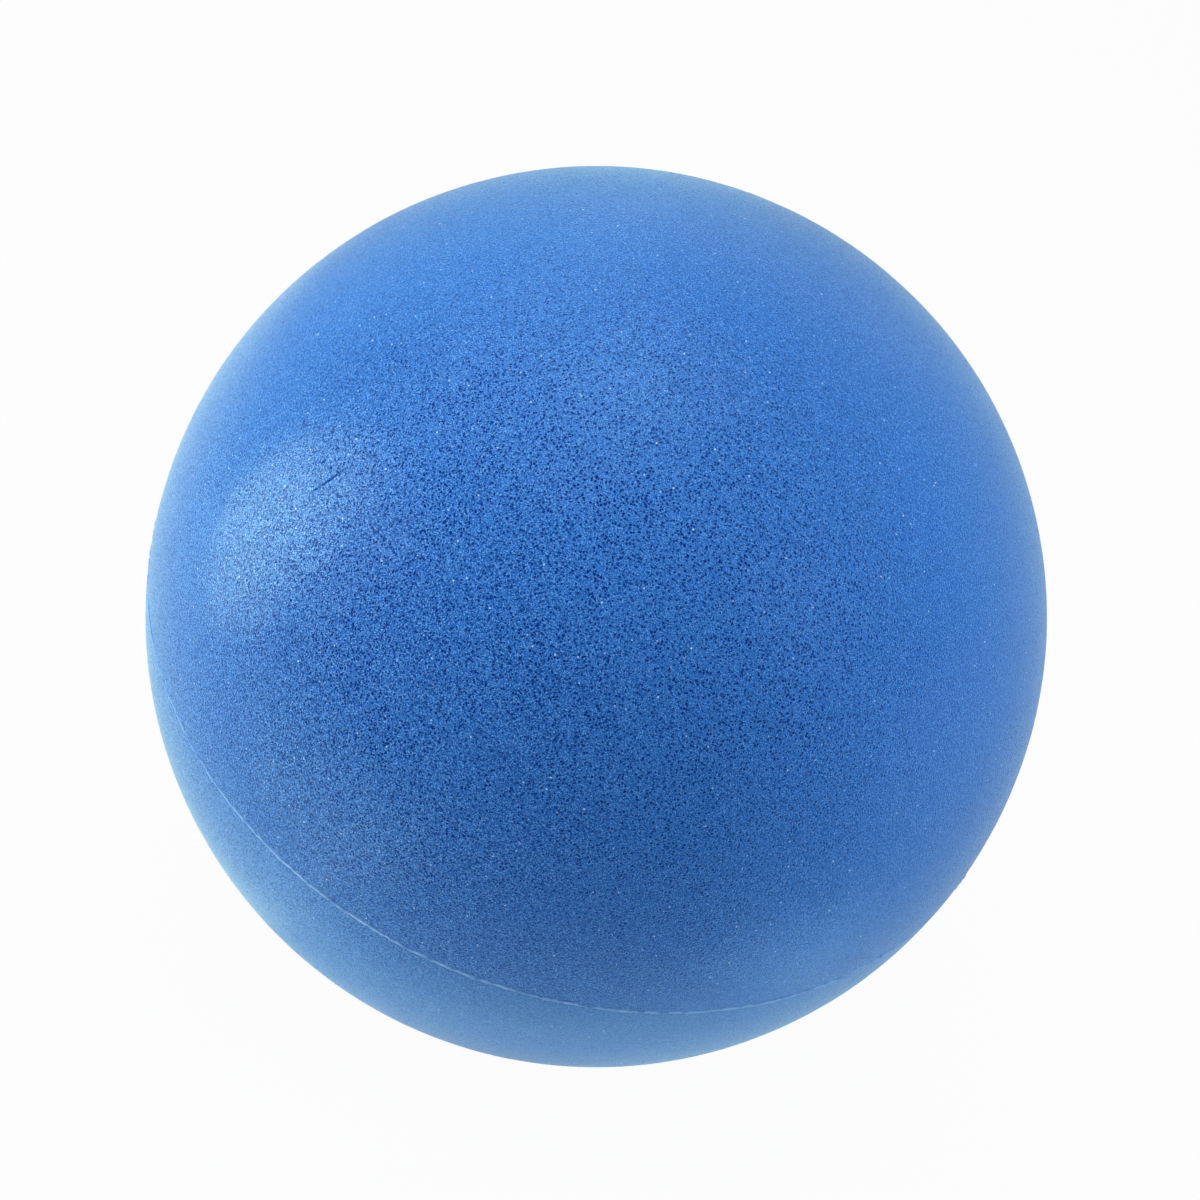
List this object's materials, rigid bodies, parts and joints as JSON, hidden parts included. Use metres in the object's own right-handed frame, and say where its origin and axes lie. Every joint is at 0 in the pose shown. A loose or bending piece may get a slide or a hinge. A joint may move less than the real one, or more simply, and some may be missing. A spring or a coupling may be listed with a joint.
{
  "type": "foam ball",
  "caption": "Round, soft foam ball for throwing and catching, with a finely porous surface and a thin bonded seam around its middle.",
  "frame": {"origin": "the ball's centre, in the middle of the seam's plane", "axes": "+Z is the axis that the two halves are bonded along and points away from the flattened patch that the ball stands on; the seam lies in the XY plane, and X and Y are alike"},
  "size_m": [0.2004, 0.2004, 0.1993],
  "materials": {
    "foam": "matte moulded polyurethane foam with fine open pores in its skin",
    "adhesive": "thin cured flexible adhesive, paler than the foam"
  },
  "bodies": {
    "root": {"upper_half": "foam", "lower_half": "foam", "adhesive_seam": "adhesive"}
  },
  "joints": []
}
